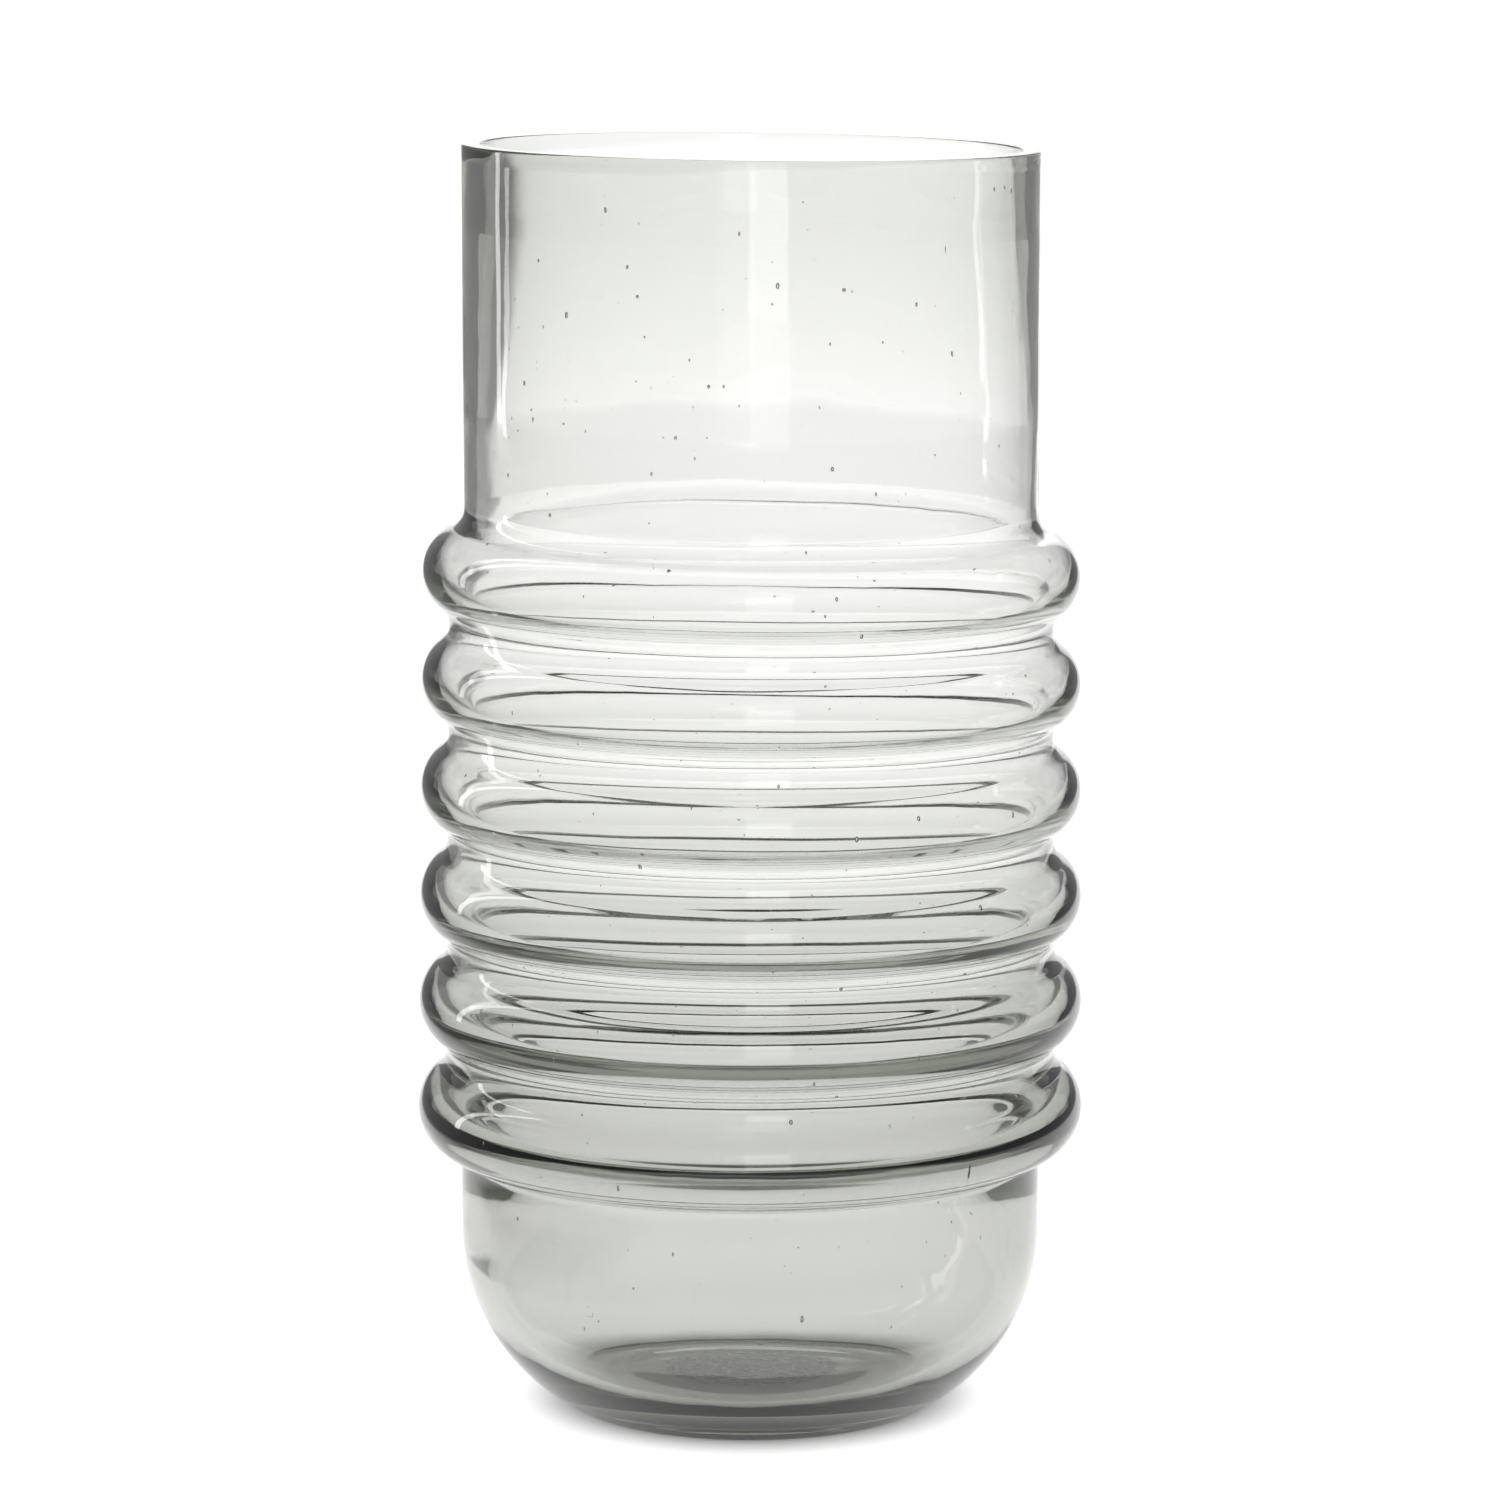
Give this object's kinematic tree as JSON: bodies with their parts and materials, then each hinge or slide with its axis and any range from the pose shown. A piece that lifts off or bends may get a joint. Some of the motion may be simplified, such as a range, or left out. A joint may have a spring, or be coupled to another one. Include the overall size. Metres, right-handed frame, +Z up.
{
  "type": "glass vase",
  "caption": "Smoke-tinted clear glass cylinder vase with a straight ground rim, rounded ribs round its middle and a deep round bowl on a thick flat foot.",
  "frame": {"origin": "middle of the foot, on the surface that the vase stands on", "axes": "+Z up the vase's axis, from the foot to the mouth; the vase is round, so +X and +Y are alike"},
  "size_m": [0.1618, 0.1618, 0.3065],
  "materials": {
    "smoke_glass": "clear smoke-grey blown glass with a faint green cast, polished, ground rim"
  },
  "bodies": {
    "root": {"glass_body": "smoke_glass"}
  },
  "joints": []
}
